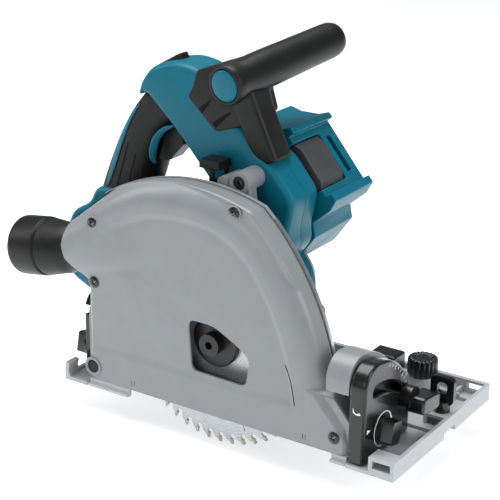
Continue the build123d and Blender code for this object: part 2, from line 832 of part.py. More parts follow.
# handle seen from the side
body_points = [(-62, 118), (-44, 128), (-38, 142), (4, 149.5), (60, 147), (76, 152), (74, 166),
               (40, 200.5), (12, 228.5), (15, 239), (28, 250), (44, 253), (62, 250), (58, 237),
               (53, 229), (76, 208), (80, 206), (99, 212), (120, 189), (126, 190), (147, 165),
               (141, 137), (143, 126), (127, 104), (100, 96), (60, 92), (20, 84), (-34, 82),
               (-40, 50), (-66, 62), (-70, 100)]
trigger_pocket = [(36, 208), (14, 208), (-2, 187), (4, 169), (24, 166), (50, 190)]
trigger_hinge, trigger_pin_radius = (40.0, 204.5), 1.4
grip_points = [(-38, 142.4), (-24, 179), (-9, 204), (11.6, 228.2), (39.6, 200.2), (23, 198),
               (8, 175), (10, 165), (3.6, 150)]
pocket_near, pocket_far = 47.2, 63.8
handle_seam = (unit_near + unit_far) / 2
lock_plane = Plane(origin=(27.5, handle_seam, 247.6), x_dir=(0.87, 0, 0.49), z_dir=(-0.49, 0, 0.87))
dial_spot = (84.0, -67.5)
handle_screw_spots = [(24, 240), (66, 188), (-50, 118), (112, 150)]
screw_radius, screw_sink = 3.2, 1.6

for shell_name, low, high in (("handle_shell_near", unit_near, handle_seam),
                              ("handle_shell_far", handle_seam, unit_far)):
    with BuildPart() as handle_shell:
        with BuildSketch(across(low)):
            face_of(body_points)
        extrude(amount=-(high - low))
        with BuildSketch(across(low - 1)):
            with Locations(motor):
                Circle(motor_radius + 0.05)
        extrude(amount=-60, mode=Mode.SUBTRACT)
        with BuildSketch(across(pocket_near)):
            face_of(trigger_pocket)
            with Locations(trigger_hinge):
                Circle(3.8)
        extrude(amount=-(pocket_far - pocket_near), mode=Mode.SUBTRACT)
        # the near shell carries the trigger's pin
        if low == unit_near:
            with BuildSketch(across(pocket_near - 2)):
                with Locations(trigger_hinge):
                    Circle(trigger_pin_radius)
            extrude(amount=-(handle_seam + 7 - pocket_near + 2))
        with BuildSketch(across(unit_far - screw_sink)):
            with Locations(*handle_screw_spots):
                Circle(screw_radius)
        extrude(amount=-screw_sink, mode=Mode.SUBTRACT)
        with BuildSketch(lock_plane.offset(-8)):
            Rectangle(25, 12.7)
        extrude(amount=20, mode=Mode.SUBTRACT)
        # hollow rear body for the controller and the speed dial's seat
        with BuildSketch(across(41)):
            face_of([(-62, 70), (-45, 62), (-30, 88), (-6, 90), (-6, 116), (-58, 112)])
        extrude(amount=-(unit_far - 46), mode=Mode.SUBTRACT)
        with BuildSketch(Plane.YZ.offset(-75)):
            with Locations((handle_seam, dial_spot[0])):
                Circle(9.3)
        extrude(amount=8, mode=Mode.SUBTRACT)
    save(handle_shell, shell_name)

with BuildPart() as rear_grip:
    with BuildSketch(across(unit_near + 1.5)):
        face_of(grip_points)
    extrude(amount=-(unit_far - unit_near - 3))
    upright = rear_grip.edges().filter_by(Axis.Y, reverse=True)
    fillet(upright.filter_by(lambda edge: edge.center().X < -12 and edge.center().Z > 143), 9)
    with BuildSketch(across(pocket_near)):
        face_of(trigger_pocket)
        with Locations(trigger_hinge):
            Circle(3.8)
    extrude(amount=-(pocket_far - pocket_near), mode=Mode.SUBTRACT)
    with BuildSketch(across(pocket_near)):
        with Locations((13, 214)):
            Rectangle(16, 9, rotation=-45)
    extrude(amount=-(pocket_far - pocket_near), mode=Mode.SUBTRACT)
save(rear_grip, "rear_grip")

with BuildPart() as switch_body:
    with BuildSketch(across(pocket_near + 0.4)):
        with Locations((13, 214)):
            Rectangle(15, 8, rotation=-45)
    extrude(amount=-(pocket_far - pocket_near - 0.8))
save(switch_body, "switch_body")

with BuildPart() as trigger:
    with BuildSketch(across(pocket_near + 0.5)):
        face_of([(33, 204), (21, 204), (9.5, 187), (12, 176), (22, 172), (29, 173.5),
                 (41.5, 187.5), (39, 197)])
        fillet(vertices(), 2)
        face_of([(30, 202), (38.4, 207), (42.4, 202.8), (38, 195)])
        with Locations(trigger_hinge):
            Circle(2.9)
            Circle(trigger_pin_radius + fit, mode=Mode.SUBTRACT)
    extrude(amount=-(pocket_far - pocket_near - 1))
save(trigger, "trigger")

with BuildPart() as lock_off_button:
    with BuildSketch(lock_plane.offset(-3.5)):
        RectangleRounded(24.2, 12, 2)
    extrude(amount=7)
save(lock_off_button, "lock_off_button")

with BuildPart() as controller:
    with Locations((-42, handle_seam, 97)):
        Box(24, 22, 14)
save(controller, "controller")

with BuildPart() as speed_dial:
    with BuildSketch(Plane.YZ.offset(-73.5)):
        with Locations((handle_seam, dial_spot[0])):
            Circle(9)
    extrude(amount=6)
save(speed_dial, "speed_dial")


def bay_point(slope, height, side=1):
    """Point of the battery bay: distance down the slope and height off it; side -1 mirrors to the rear."""
    x = 0.64 * slope + 0.77 * height
    z = -0.77 * slope + 0.64 * height
    return (x if side > 0 else 2 * roof_x - x, z)


roof_x = 102.0
bay_floor, bay_rail = 218.6, 224.0
bay_side = [(110, 204.5)] + [bay_point(*spot) for spot in
            ((-83, bay_rail), (-78, bay_rail), (-78, bay_floor), (-26, bay_floor),
             (-26, bay_rail), (-19.5, bay_rail))] + [(155, 149), (141, 137), (143, 126), (127, 104)]
with BuildPart() as battery_housing:
    with BuildSketch(across(unit_far + 0.1)):
        face_of(bay_side + [(2 * roof_x - x, z) for x, z in reversed(bay_side)])
    extrude(amount=-(bay_far - unit_far - 0.1))
    with BuildSketch(across(unit_far - 1)):
        with Locations(motor):
            Circle(motor_radius + 0.35)
    extrude(amount=-(motor_end + 4.6 - unit_far + 1), mode=Mode.SUBTRACT)
    # seats of the terminal blocks, and the latch slots near the bays' open ends
    for side in (1, -1):
        with BuildSketch(across(unit_far)):
            face_of([bay_point(*spot, side) for spot in ((-72, 210), (-72, 230), (-32, 230), (-32, 210))])
        extrude(amount=-(112 - unit_far), mode=Mode.SUBTRACT)
        with BuildSketch(across(118)):
            face_of([bay_point(*spot, side) for spot in ((-68, 212), (-68, 219), (-36, 219), (-36, 212))])
        extrude(amount=-6, mode=Mode.SUBTRACT)
    # hollow inside
    with BuildSketch(across(unit_far + 0.1)):
        face_of([(102, 194), (134, 156), (128, 134), (112, 124), (92, 124), (76, 134), (70, 156)])
    extrude(amount=-(bay_far - unit_far - 4), mode=Mode.SUBTRACT)
save(battery_housing, "battery_housing")

for side, block_name in ((1, "front_terminal_block"), (-1, "rear_terminal_block")):
    with BuildPart() as terminal_block:
        with BuildSketch(across(unit_far + 4)):
            face_of([bay_point(*spot, side)
                     for spot in ((-71.5, 210.1), (-71.5, 216), (-66, 219), (-38, 219), (-32.5, 216),
                                  (-32.5, 210.1))])
        extrude(amount=-(110.5 - unit_far - 4))
    save(terminal_block, block_name)

bar_start, bar_end = Vector(97, 22, 246), Vector(112, 150, 261)
bar_plane = Plane(origin=bar_start, z_dir=bar_end - bar_start)
bar_length = (bar_end - bar_start).length
with BuildPart() as front_handle:
    with BuildSketch(across(unit_near)):
        face_of([(62.3, 250), (58.4, 237), (53.6, 229), (76.2, 208.4), (80, 206.4), (99.2, 212.4),
                 (120.2, 189.4), (126.2, 190.4), (97, 218), (104, 236), (108, 246), (98, 258),
                 (84, 258)])
    extrude(amount=-(unit_far - unit_near))
    with BuildSketch(bar_plane):
        Circle(15)
    with BuildSketch(bar_plane.offset(bar_length)):
        Circle(13.8)
    loft()
    fillet(front_handle.edges().sort_by(Axis.Y)[-1], 5)
save(front_handle, "front_handle")

with BuildPart() as handle_end_cap:
    with BuildSketch(bar_plane.offset(-2.4)):
        Circle(11.8)
    extrude(amount=2.4)
    fillet(handle_end_cap.edges().filter_by(GeomType.CIRCLE).sort_by(Axis.Y)[0], 1.2)
save(handle_end_cap, "handle_end_cap")

with BuildPart() as change_lever:
    with BuildSketch(across(14.4)):
        with Locations(lug):
            Circle(5.5)
            Circle(2.5 + fit, mode=Mode.SUBTRACT)
    extrude(amount=-5.6)
    with BuildSketch(Plane.XY.offset(lug[1] + 3.5)):
        with Locations((89, 17.2)):
            Circle(2.2)
    extrude(amount=184 - lug[1] - 3.5)
    with Locations((86.5, 25, 187)):
        Box(17, 16.5, 6)
    with BuildSketch(Plane.XY.offset(172)):
        with Locations((92, 31)):
            Circle(2.0)
    extrude(amount=13)
    with Locations((90.5, 24, 173.5)):
        Box(4.4, 14.5, 4)
save(change_lever, "change_lever")

with BuildPart() as handle_screws:
    with BuildSketch(across(unit_far - screw_sink)):
        with Locations(*handle_screw_spots):
            Circle(screw_radius)
    extrude(amount=-screw_sink)
save(handle_screws, "handle_screws")
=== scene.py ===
import json
import math

import bmesh
import bpy
import numpy as np
from mathutils import Matrix, Vector

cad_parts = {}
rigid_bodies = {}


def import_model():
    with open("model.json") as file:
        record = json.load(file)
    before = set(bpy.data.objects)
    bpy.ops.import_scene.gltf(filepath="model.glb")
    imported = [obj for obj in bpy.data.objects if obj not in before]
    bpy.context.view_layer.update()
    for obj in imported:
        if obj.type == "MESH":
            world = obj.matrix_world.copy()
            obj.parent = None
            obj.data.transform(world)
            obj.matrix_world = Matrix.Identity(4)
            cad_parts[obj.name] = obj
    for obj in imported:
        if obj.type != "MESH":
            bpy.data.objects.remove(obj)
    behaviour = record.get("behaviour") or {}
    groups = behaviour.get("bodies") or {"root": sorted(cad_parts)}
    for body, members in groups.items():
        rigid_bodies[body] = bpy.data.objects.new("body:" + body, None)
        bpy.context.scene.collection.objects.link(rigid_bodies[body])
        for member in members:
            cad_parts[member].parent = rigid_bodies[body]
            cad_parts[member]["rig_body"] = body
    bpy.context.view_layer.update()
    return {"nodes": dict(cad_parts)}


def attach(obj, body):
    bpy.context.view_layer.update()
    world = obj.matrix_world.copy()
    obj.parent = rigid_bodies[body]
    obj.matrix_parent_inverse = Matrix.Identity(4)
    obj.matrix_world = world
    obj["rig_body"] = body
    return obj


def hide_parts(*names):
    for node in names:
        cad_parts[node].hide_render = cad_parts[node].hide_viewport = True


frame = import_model()
nodes = frame["nodes"]
mm = 0.001
print("frame loaded,", len(nodes), "nodes")


# camera, lights and surroundings in metres and degrees, floor in millimetres
studio = {
    "cameraPlace": (0.656, -0.796, 0.488), "azimuth": 33.26, "elevation": 20.25, "roll": 0.64,
    "lens": 103.15, "sensor": 36.0,
    "floorHeight": -22.5, "floorSize": 14000.0,
    "floorGlow": 0.5, "worldColour": (0.93, 0.96, 1.0, 1), "worldStrength": 0.22,
    "middle": (0.11, 0.04, 0.1),
    # each soft box: place, width, height, power
    "boxes": {"boxAbove": ((-0.15, 0.15, 1.6), 1.5, 1.2, 34), "boxLeft": ((-1.3, -0.6, 1.0), 0.5, 1.0, 8),
              "boxFront": ((1.6, 0.1, 0.8), 0.7, 1.0, 9), "boxNear": ((0.2, -1.7, 0.7), 1.2, 0.5, 4.5)},
}


def makeCamera(values):
    # back = away from the object, right = across, up = back x right, then rolled
    a, e, r = (math.radians(values[k]) for k in ("azimuth", "elevation", "roll"))
    back = Vector((math.sin(a) * math.cos(e), -math.cos(a) * math.cos(e), math.sin(e)))
    across = Vector((math.cos(a), math.sin(a), 0))
    up = back.cross(across)
    right = across * math.cos(r) + up * math.sin(r)
    top = up * math.cos(r) - across * math.sin(r)
    lens = bpy.data.cameras.new("camera")
    lens.lens, lens.sensor_width = values["lens"], values["sensor"]
    lens.clip_start, lens.clip_end = 0.01, 50
    camera = bpy.data.objects.new("camera", lens)
    turn = Matrix((right, top, back)).transposed().to_4x4()
    camera.matrix_world = Matrix.Translation(values["cameraPlace"]) @ turn
    bpy.context.scene.collection.objects.link(camera)
    bpy.context.scene.camera = camera


def softBox(name, place, width, height, power):
    # area light of width by height metres, facing the middle of the saw
    light = bpy.data.lights.new(name, "AREA")
    light.shape, light.size, light.size_y = "RECTANGLE", width, height
    light.energy = power
    holder = bpy.data.objects.new(name, light)
    turn = (Vector(place) - Vector(studio["middle"])).to_track_quat("Z", "Y").to_matrix().to_4x4()
    holder.matrix_world = Matrix.Translation(place) @ turn
    bpy.context.scene.collection.objects.link(holder)


makeCamera(studio)
world = bpy.data.worlds.new("world")
bpy.context.scene.world = world
world.use_nodes = True
background = world.node_tree.nodes["Background"].inputs
background["Color"].default_value = studio["worldColour"]
background["Strength"].default_value = studio["worldStrength"]
bpy.context.scene.view_settings.view_transform = "Standard"
for name, box in studio["boxes"].items():
    softBox(name, *box)
print("camera and lights placed")


class Wire:
    # one socket of a finish; arithmetic on it adds the Math nodes
    def __init__(self, tree, socket=None):
        self.tree, self.socket = tree, socket

    def node(self, kind, settings=None, sockets=None, out=0):
        # any other node: its settings first, then the values or links of its sockets
        made = self.tree.nodes.new("ShaderNode" + kind)
        for key, value in (settings or {}).items():
            setattr(made, key, value)
        for key, value in (sockets or {}).items():
            if isinstance(value, Wire):
                self.tree.links.new(value.socket, made.inputs[key])
            else:
                made.inputs[key].default_value = value
        return Wire(self.tree, made.outputs[out])

    def math(self, operation, a, b=0.0):
        # the operation on a and b
        return self.node("Math", {"operation": operation}, {0: a, 1: b})

    def __add__(self, other):
        return self.math("ADD", self, other)

    def __radd__(self, other):
        return self.math("ADD", other, self)

    def __sub__(self, other):
        return self.math("SUBTRACT", self, other)

    def __rsub__(self, other):
        return self.math("SUBTRACT", other, self)

    def __mul__(self, other):
        return self.math("MULTIPLY", self, other)

    def __rmul__(self, other):
        return self.math("MULTIPLY", other, self)

    def __gt__(self, other):
        return self.math("GREATER_THAN", self, other)

    def __lt__(self, other):
        return self.math("LESS_THAN", self, other)

    def ease(self, low, high):
        # 0 below low, 1 above high, smooth between them
        return self.node("MapRange", {"interpolation_type": "SMOOTHSTEP"},
                         {0: self, 1: low, 2: high, 3: 0.0, 4: 1.0})

    def mix(self, first, second):
        # first colour where this is 0, second where it is 1
        return self.node("Mix", {"data_type": "RGBA"}, {0: self, 6: first, 7: second}, out=2)


def startFinish(name, metallic=0.0, coat=0.0, coatRoughness=0.1, specular=0.5):
    # a new material, its shader, and the place on the object
    material = bpy.data.materials.new(name)
    material.use_nodes = True
    shader = material.node_tree.nodes["Principled BSDF"]
    for socket, value in (("Metallic", metallic), ("Coat Weight", coat),
                          ("Coat Roughness", coatRoughness), ("Specular IOR Level", specular)):
        shader.inputs[socket].default_value = value
    place = Wire(material.node_tree).node("TexCoord", out=3)
    return material, shader, place


def endFinish(material, shader, colour, roughness, height, depth):
    # links the colour and roughness, and a Bump of the height, depth metres deep
    bump = height.node("Bump", {}, {"Strength": 1.0, "Distance": depth, "Height": height})
    for socket, wire in (("Base Color", colour), ("Roughness", roughness), ("Normal", bump)):
        material.node_tree.links.new(wire.socket, shader.inputs[socket])
    return material


def noise(place, scale, detail=3.0, stretch=(1, 1, 1)):
    # noise of the place times the stretch, so it is finer along an axis with a larger share
    if stretch != (1, 1, 1):
        place = place.node("Mapping", {}, {"Vector": place, "Scale": stretch})
    return place.node("TexNoise", {}, {"Vector": place, "Scale": scale, "Detail": detail})


def shade(colour, factor):
    # the colour times the factor, no brighter than white
    return tuple(min(1.0, c * factor) for c in colour) + (1.0,)


def mouldedFinish(name, colour, rough, grain=2600, depth=0.00003, mottle=0.08, cloud=60, **fixed):
    # a dyed or coated surface: cloudy colour, uneven sheen and a fine grain
    material, shader, place = startFinish(name, **fixed)
    clouds, specks = noise(place, cloud), noise(place, grain, 2.0)
    tint = clouds.ease(0.3, 0.7).mix(shade(colour, 1 - mottle), shade(colour, 1 + mottle))
    flecks = (specks > 0.62) * 0.35
    tint = flecks.mix(tint, shade(colour, 1 + 3 * mottle))
    roughness = rough + (clouds - 0.5) * 0.12 + (specks - 0.5) * 0.1
    return endFinish(material, shader, tint, roughness, specks, depth)


def turnedFinish(name, colour, rough, stretch, metallic=1.0):
    # ground metal: lines finer along an axis with a larger share of stretch, and a slow drift of sheen
    material, shader, place = startFinish(name, metallic=metallic)
    fine, slow = noise(place, 900, 2.0, stretch), noise(place, 45)
    tint = fine.ease(0.25, 0.75).mix(shade(colour, 0.88), shade(colour, 1.08))
    roughness = rough + (fine - 0.5) * 0.25 + (slow - 0.5) * 0.12
    return endFinish(material, shader, tint, roughness, fine, 0.00002)


def bladeFinish(values):
    # ring-ground disc: lines along circles about the arbor; tan carbide beyond tipStart, where the
    # tips are thicker than the body
    material, shader, place = startFinish("bladeSteel", metallic=0.35)
    apart = place.node("SeparateXYZ", {}, {0: place})
    x, y, z = (Wire(apart.tree, apart.socket.node.outputs[i]) for i in range(3))
    dx, dz = x - values["arborX"], z - values["arborZ"]
    radius = apart.math("SQRT", dx * dx + dz * dz)
    rings = radius.node("TexNoise", {"noise_dimensions": "1D"},
                        {"W": radius, "Scale": 2400.0, "Detail": 3.0})
    slow = noise(place, 70)
    tips = (radius > values["tipStart"]) * (y.math("ABSOLUTE", y) > values["bodyHalf"])
    tone = rings.ease(0.3, 0.7).mix((0.42, 0.44, 0.46, 1), (0.62, 0.64, 0.66, 1))
    tan = noise(place, 1500).ease(0.3, 0.7).mix((0.36, 0.31, 0.22, 1), (0.58, 0.52, 0.40, 1))
    roughness = 0.27 + (rings - 0.5) * 0.2 + (slow - 0.5) * 0.15 + tips * 0.2
    return endFinish(material, shader, tips.mix(tone, tan), roughness, rings, 0.00003)


blade = {"arborX": 0.10710, "arborZ": 0.0605, "tipStart": 0.0776, "bodyHalf": 0.00095}
tealColour = (0.0008, 0.125, 0.186)
greyColour = (0.222, 0.236, 0.246)
darkColour = (0.0045, 0.0047, 0.0048)
finishes = {
    "floorPaint": mouldedFinish("floorPaint", (0.86, 0.87, 0.88), 0.75, grain=400, depth=0.00002,
                                mottle=0.01, cloud=3),
    "castGrey": mouldedFinish("castGrey", greyColour, 0.38, grain=1500, depth=0.00004, mottle=0.03,
                              coat=0.25, coatRoughness=0.3),
    "baseGrey": mouldedFinish("baseGrey", (0.40, 0.42, 0.435), 0.42, grain=1300, depth=0.00004,
                              mottle=0.04, coat=0.2, coatRoughness=0.35),
    "machined": turnedFinish("machined", (0.72, 0.74, 0.76), 0.3, (1, 12, 12)),
    "teal": mouldedFinish("teal", tealColour, 0.4, grain=3000, depth=0.000015, mottle=0.05,
                          coat=0.08, coatRoughness=0.2, specular=0.18),
    "black": mouldedFinish("black", darkColour, 0.42, grain=2600, depth=0.00003, mottle=0.12, specular=0.3),
    "glossBlack": mouldedFinish("glossBlack", (0.005, 0.0052, 0.0055), 0.26, grain=2200, depth=0.00001,
                                mottle=0.1, coat=0.35, coatRoughness=0.14, specular=0.35),
    # for dark lines, and as painted shade in grooves
    "deepBlack": mouldedFinish("deepBlack", (0.0012, 0.0012, 0.0013), 0.6, specular=0.15),
    "softGrip": mouldedFinish("softGrip", (0.006, 0.0062, 0.0065), 0.5, grain=3600, depth=0.00005,
                              mottle=0.15, specular=0.28),
    "cuffRubber": mouldedFinish("cuffRubber", (0.005, 0.0052, 0.0054), 0.42, grain=2800, depth=0.00004,
                                mottle=0.15, specular=0.28),
    "terminalGrey": mouldedFinish("terminalGrey", (0.05, 0.05, 0.052), 0.5, grain=2200, mottle=0.08),
    "bladeSteel": bladeFinish(blade),
    "steel": turnedFinish("steel", (0.58, 0.59, 0.61), 0.28, (1, 8, 1)),
    "blackOxide": turnedFinish("blackOxide", (0.03, 0.03, 0.031), 0.36, (3, 3, 3), metallic=0.6),
    "copper": turnedFinish("copper", (0.62, 0.30, 0.16), 0.35, (1, 6, 1)),
    "markWhite": mouldedFinish("markWhite", (0.82, 0.84, 0.85), 0.5, mottle=0.03),
}
finishOfNode = {
    "castGrey": "case_cover case_inner_wall front_bracket rear_bracket gear_housing",
    "baseGrey": "base_plate edge_runners",
    "machined": "motor_end_cap depth_scale",
    "teal": "handle_shell_near handle_shell_far battery_housing motor_housing handle_end_cap",
    "black": "depth_stop trigger lock_off_button speed_dial change_lever front_handle switch_body "
             "controller fan case_seal",
    "glossBlack": "slide_lever front_quadrant rear_quadrant front_stop_dial rear_stop_dial "
                  "front_rule_screw rear_rule_screw front_rail_knob rear_rail_knob front_clamp_knob "
                  "rear_clamp_knob",
    "softGrip": "rear_grip",
    "cuffRubber": "dust_nozzle",
    "terminalGrey": "front_terminal_block rear_terminal_block",
    "bladeSteel": "saw_blade",
    "steel": "quadrant_screws clamp_bolts pivot_pin torsion_spring motor_bearings spindle_bearings "
             "spindle drive_gear inner_flange rotor_shaft pinion rotor_core",
    "blackOxide": "boss_screw outer_flange arbor_bolt cover_screws handle_screws",
    "copper": "stator",
}
for finishName, members in finishOfNode.items():
    for member in members.split():
        nodes[member].data.materials.clear()
        nodes[member].data.materials.append(finishes[finishName])
print("finishes made")


def floorGrid(size, height):
    # flat square grid: x and y run from -size/2 to size/2
    u = np.linspace(-size / 2, size / 2, 9)
    x, y = np.meshgrid(u, u)
    return np.stack([x, y, np.full_like(x, height)], -1)


def quadsOf(rows, columns, closed):
    # index of each grid cell's four corners, wrapping round the columns where closed
    i = np.arange(rows - 1)[:, None]
    j = np.arange(columns if closed else columns - 1)[None, :]
    k = (j + 1) % columns
    return np.stack([i * columns + j + 0 * k, i * columns + k, (i + 1) * columns + k,
                     (i + 1) * columns + j + 0 * k], -1).reshape(-1, 4)


def newPiece(name, points, faces, finish):
    # a smooth mesh object at the origin, from points in millimetres
    mesh = bpy.data.meshes.new(name)
    mesh.from_pydata((points.reshape(-1, 3) * mm).tolist(), [], faces)
    mesh.validate()
    mesh.materials.append(finishes[finish])
    mesh.polygons.foreach_set("use_smooth", np.full(len(mesh.polygons), True))
    piece = bpy.data.objects.new(name, mesh)
    bpy.context.scene.collection.objects.link(piece)
    return piece


floorShader = finishes["floorPaint"].node_tree.nodes["Principled BSDF"].inputs
floorShader["Emission Color"].default_value = (1, 1, 1, 1)
floorShader["Emission Strength"].default_value = studio["floorGlow"]
floor = newPiece("floor", floorGrid(studio["floorSize"], studio["floorHeight"]),
                 quadsOf(9, 9, False).tolist(), "floorPaint")


# shapes are in millimetres until newPiece
def roundedLoop(corners, reach, steps=8):
    # closed outline, anticlockwise; each corner c becomes the curve (1 - s)^2 a + 2 s (1 - s) c + s^2 b,
    # where a and b lie at the reach from c on its two sides
    c = np.asarray(corners, float)
    if np.sum(c[:, 0] * np.roll(c[:, 1], -1) - c[:, 1] * np.roll(c[:, 0], -1)) < 0:
        c = c[::-1]
    toBefore, toAfter = np.roll(c, 1, 0) - c, np.roll(c, -1, 0) - c
    before, after = (np.linalg.norm(v, axis=1, keepdims=True) for v in (toBefore, toAfter))
    a = c + toBefore * np.minimum(reach / before, 0.49)
    b = c + toAfter * np.minimum(reach / after, 0.49)
    s = np.linspace(0, 1, steps)[None, :, None]
    return ((1 - s) ** 2 * a[:, None] + 2 * s * (1 - s) * c[:, None] + s ** 2 * b[:, None]).reshape(-1, 2)


def evenLoop(loop, spacing):
    # the outline's points spaced evenly along its length
    ring = np.concatenate([loop, loop[:1]])
    way = np.concatenate([[0], np.cumsum(np.hypot(*np.diff(ring, axis=0).T))])
    at = np.linspace(0, way[-1], int(way[-1] / spacing), endpoint=False)
    return np.stack([np.interp(at, way, ring[:, i]) for i in (0, 1)], -1)


def insetLoop(loop, distance):
    # each point plus distance * normal; a point that lands nearer the outline than 0.97 of the distance
    # is drawn between its good neighbours
    along = np.roll(loop, -1, 0) - np.roll(loop, 1, 0)
    along /= np.linalg.norm(along, axis=1, keepdims=True)
    moved = loop + np.stack([-along[:, 1], along[:, 0]], -1) * distance
    gap = np.hypot(*(moved[:, None] - loop[None]).transpose(2, 0, 1)).min(1)
    i, good = np.arange(len(loop)), gap > 0.97 * distance - 1e-6
    return np.stack([np.interp(i, i[good], moved[good, k], period=len(loop)) for k in (0, 1)], -1)


def roundedSides(low, high, lowRound, highRound, steps=7):
    # (inset, height) of a slab's edge: quarter circle, straight side, quarter circle
    t = np.linspace(0, np.pi / 2, steps)
    first = np.stack([lowRound * (1 - np.sin(t)), low + lowRound * (1 - np.cos(t))], -1)
    last = np.stack([highRound * (1 - np.sin(t)), high - highRound * (1 - np.cos(t))], -1)[::-1]
    return np.concatenate([first, last])


def skin(name, rings, finish, body, replaced=(), capped=True):
    # tube of quads through the rings; its ends are flat caps, or without caps the last ring joins the first
    rings = np.asarray(rings, float)
    if not capped:
        rings = np.concatenate([rings, rings[:1]])
    rows, around = rings.shape[:2]
    faces = quadsOf(rows, around, True).tolist()
    if capped:
        faces += [list(range(around))[::-1], list(range((rows - 1) * around, rows * around))]
    return fit(newPiece(name, rings, faces, finish), body, replaced)


def fit(piece, body, replaced=(), turned=True):
    # outward normals where turned is true, then the piece's body and the nodes it stands for
    if turned:
        work = bmesh.new()
        work.from_mesh(piece.data)
        bmesh.ops.remove_doubles(work, verts=work.verts, dist=1e-7)
        bmesh.ops.recalc_face_normals(work, faces=work.faces)
        work.to_mesh(piece.data)
        work.free()
    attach(piece, body)
    if replaced:
        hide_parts(*replaced)
    return piece


def pillow(name, loop, sides, finish, body, replaced=()):
    # outline in x and z, inset and placed at y for each (inset, y) of its sides
    rings = []
    for inset, y in sides:
        ring = insetLoop(loop, inset)
        rings.append(np.stack([ring[:, 0], np.full(len(ring), y), ring[:, 1]], -1))
    return skin(name, rings, finish, body, replaced)


def turnedRings(start, direction, profile, around=72, lobes=0, lobeDepth=0.0):
    # start + t d + r (u cos a + w sin a) for each (r, t), with r scaled by 1 - lobeDepth cos(lobes a / 2)^6
    d = np.array(direction, float) / np.linalg.norm(direction)
    u = np.cross(d, [0, 0, 1] if abs(d[2]) < 0.9 else [1, 0, 0])
    u /= np.linalg.norm(u)
    w = np.cross(d, u)
    a = np.linspace(0, 2 * np.pi, around, endpoint=False)
    wave = 1 - lobeDepth * np.cos(lobes * a / 2) ** 6
    r, t = np.array(profile, float).T
    ring = np.cos(a)[:, None] * u + np.sin(a)[:, None] * w
    return np.array(start) + t[:, None, None] * d + (r[:, None] * wave)[:, :, None] * ring


def ribbon(name, path, half, thick, normal, finish, body, steps=40):
    # bar along a path: Catmull-Rom through its points, with the section half |cos a|^(1/2) across
    # and thick |sin a|^(1/2) out; half and thick may each be a list spread along the path
    p = np.asarray(path, float)
    p = np.concatenate([2 * p[:1] - p[1:2], p, 2 * p[-1:] - p[-2:-1]])
    at = np.linspace(0, len(p) - 3 - 1e-6, steps)
    k, u = at.astype(int), (at % 1)[:, None]
    before, start, end, after = p[k], p[k + 1], p[k + 2], p[k + 3]
    line = 0.5 * (2 * start + (end - before) * u + (2 * before - 5 * start + 4 * end - after) * u ** 2
                  + (3 * start - before - 3 * end + after) * u ** 3)
    out = np.array(normal, float) / np.linalg.norm(normal)
    side = np.cross(out, np.gradient(line, axis=0))
    side /= np.linalg.norm(side, axis=1, keepdims=True)
    halves, thicks = (np.interp(np.linspace(0, 1, steps), np.linspace(0, 1, np.size(v)), np.ravel(v))
                      for v in (half, thick))
    a = np.linspace(0, 2 * np.pi, 20, endpoint=False) + 0.1
    c, s = (np.sign(w) * np.abs(w) ** 0.5 for w in (np.cos(a), np.sin(a)))
    rings = (line[:, None] + (halves[:, None] * c)[..., None] * side[:, None]
             + (thicks[:, None] * s)[..., None] * out)
    return skin(name, rings, finish, body)


def softened(node, width):
    # the node's own mesh and finish, merged, its flat faces joined and its sharp edges rounded by Bevel
    mesh = nodes[node].data.copy()
    work = bmesh.new()
    work.from_mesh(mesh)
    bmesh.ops.remove_doubles(work, verts=work.verts, dist=2e-6)
    bmesh.ops.dissolve_limit(work, angle_limit=math.radians(0.6), verts=work.verts, edges=work.edges)
    work.to_mesh(mesh)
    work.free()
    mesh.polygons.foreach_set("use_smooth", np.full(len(mesh.polygons), True))
    mesh.set_sharp_from_angle(angle=math.radians(32))
    piece = bpy.data.objects.new(node + "_look", mesh)
    bpy.context.scene.collection.objects.link(piece)
    bevel = piece.modifiers.new("edges", "BEVEL")
    bevel.width, bevel.segments, bevel.limit_method = width * mm, 3, "ANGLE"
    bevel.angle_limit, bevel.harden_normals = math.radians(38), False
    return fit(piece, nodes[node]["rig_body"], [node], turned=False)


# the near half of the blade case: a large arc about the pivot, a dome over the back, a foot in front,
# a window over the blade's arbor and a tube for the dust, which leans by tubeLean along x
case = {
    "pivot": (0, 17), "frontRadius": 206.0, "domeCentre": (85, 11.3), "domeRadius": 166.0,
    "back": -7.0, "bottom": 6.5, "seam": 7.0, "near": -15.5, "wall": 2.4,
    "window": [(90, 78), (112, 77.5), (133, 67), (144, 59), (141, 37), (93, 38)],
    "windowCentre": (118, 58), "windowRound": 6,
    "rimWidth": 18.0, "rimHeight": 13.0, "rimBlends": (12, 10),
    "backRound": 3, "backDrop": 2.0, "backFade": (76, 88),
    "dishFrom": 3, "dishTo": 9, "panelDip": 2.4, "ledgeTop": 37.5, "ledgeFoot": 29.5,
    # each crease: height, fall, the x it falls from, depth
    "creases": [(114, 0.035, 0, 0.8), (112, 0.457, 25, 0.7)], "creaseSlope": 0.05,
    "footFront": 226.4, "footHeight": 24, "footTop": 60.0, "footCorner": (201.4, 60),
    "footEdge": (190, 193), "footBelow": 50, "footBlend": 3,
    "chamferWidth": 4, "chamferDepth": 3.5, "chamferEdge": (196, 200),
    "bevelFrom": (200, 44), "bevelLean": 0.9, "bevelShare": 0.5,
    "tubeTop": [(-27, 128.0), (16, 161.5)],
    "tubeFoot": [(-27, 112.0), (-23, 102.0), (-14, 94.0), (-7, 88.0)],
    "tubeAxis": (-4, 107.7), "tubeLean": 0.1414, "tubeRadius": 21.5, "tubeAbove": 21,
    "tubeFrom": -10, "tubeEnd": 78.0, "tubeStand": 3.2, "tubeSink": 8, "tubeDepth": 18,
    "tubeMouth": (-14, 0), "tubeBlend": 1.6,
    "around": 560, "rows": 120, "rowPower": 1.35, "wallRows": 5,
}


